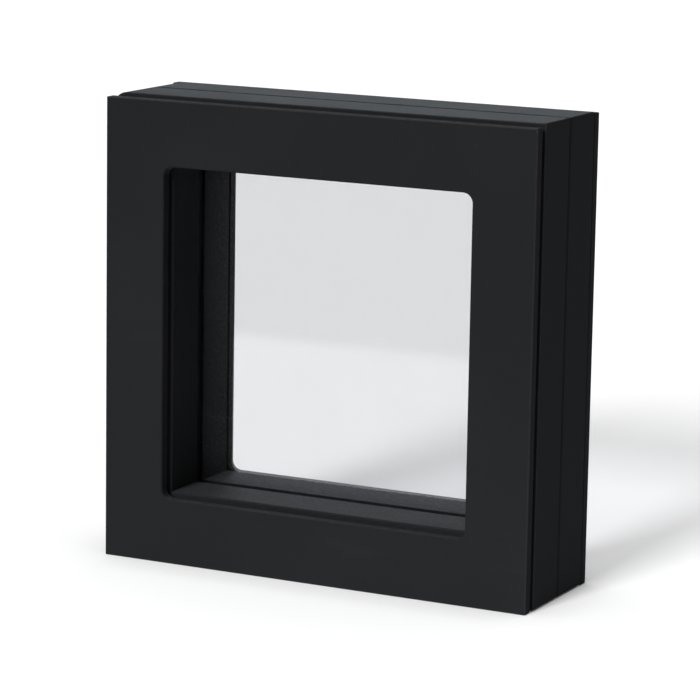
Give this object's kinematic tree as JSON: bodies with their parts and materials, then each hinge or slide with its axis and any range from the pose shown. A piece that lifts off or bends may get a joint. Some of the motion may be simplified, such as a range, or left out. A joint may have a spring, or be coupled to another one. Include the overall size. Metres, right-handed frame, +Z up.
{
  "type": "floating picture frame",
  "caption": "Square free-standing display frame in two hollow halves hinged like a book, holding a small object between two clear films stretched across its window.",
  "frame": {"origin": "bottom centre of the closed frame, hinge barrels included", "axes": "+X to the right seen from the front, +Y from the front to the back, +Z up"},
  "size_m": [0.0716, 0.0216, 0.0705],
  "materials": {
    "black_plastic": "fine matt moulded texture",
    "ring_plastic": "plain moulded",
    "film": "clear glossy stretched film",
    "pin_steel": "drawn wire"
  },
  "bodies": {
    "front_half": {"front_cover_plate": "black_plastic", "front_shell": "black_plastic", "front_film": "film", "front_film_ring": "ring_plastic", "upper_hinge_pin": "pin_steel", "lower_hinge_pin": "pin_steel"},
    "rear_half": {"rear_cover_plate": "black_plastic", "rear_shell": "black_plastic", "rear_film": "film", "rear_film_ring": "ring_plastic"}
  },
  "joints": [
    {"name": "book_hinge", "type": "hinge", "parent": "front_half", "child": "rear_half", "pos_m": [-0.0346, 0.0003, 0.03535], "axis": [0, 0, 1], "range_deg": [0, 180]}
  ]
}
